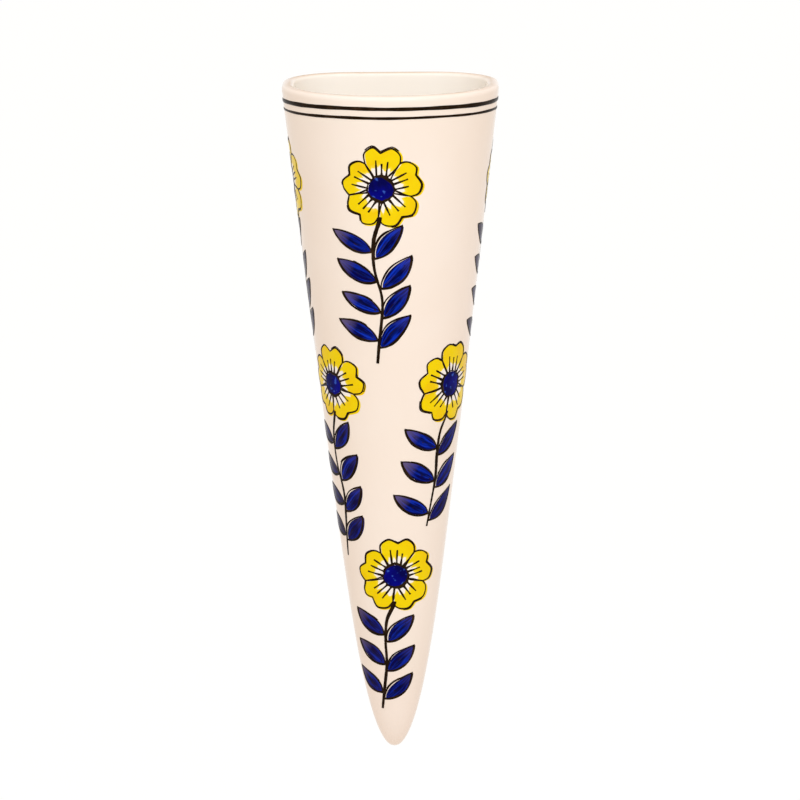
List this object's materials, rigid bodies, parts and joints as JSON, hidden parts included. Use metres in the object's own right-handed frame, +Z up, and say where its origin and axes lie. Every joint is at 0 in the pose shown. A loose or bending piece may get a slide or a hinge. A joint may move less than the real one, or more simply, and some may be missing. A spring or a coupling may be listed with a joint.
{
  "type": "hanging wall vase",
  "caption": "Cone-shaped glazed pottery wall vase with a flat back and keyhole, hung on a screw in a wall plug; painted flower sprigs and bands.",
  "frame": {"origin": "where the axis of the hanging screw meets the wall, in the plane of the vase's flat back", "axes": "+Z up along the wall, +Y into the wall, +X to the right as seen from the room"},
  "size_m": [0.0778, 0.1091, 0.2538],
  "materials": {
    "cream_glaze": "glossy cream glaze over fired clay",
    "dark_brown_enamel": "brushed dark brown line, glossy",
    "yellow_enamel": "brushed yellow colour under the glaze, glossy",
    "blue_enamel": "brushed ultramarine colour, glossy",
    "zinc_plated_steel": "bright zinc plate",
    "grey_nylon": "moulded nylon"
  },
  "bodies": {
    "wall_fixing": {"wall_plug": "grey_nylon"},
    "screw": {"wall_screw": "zinc_plated_steel"},
    "vase": {"vase_body": "cream_glaze", "upper_band": "dark_brown_enamel", "lower_band": "dark_brown_enamel", "petals": "yellow_enamel", "flower_centres": "blue_enamel", "stems": "dark_brown_enamel", "leaves": "blue_enamel"}
  },
  "joints": [
    {"name": "swing", "type": "hinge", "parent": "wall_fixing", "child": "screw", "pos_m": [0, 0, 0], "axis": [0, 1, 0], "range_deg": [-45, 45]},
    {"name": "lift_off", "type": "slide", "parent": "screw", "child": "vase", "axis": [0, 0, 1], "range_m": [0, 0.011]}
  ]
}
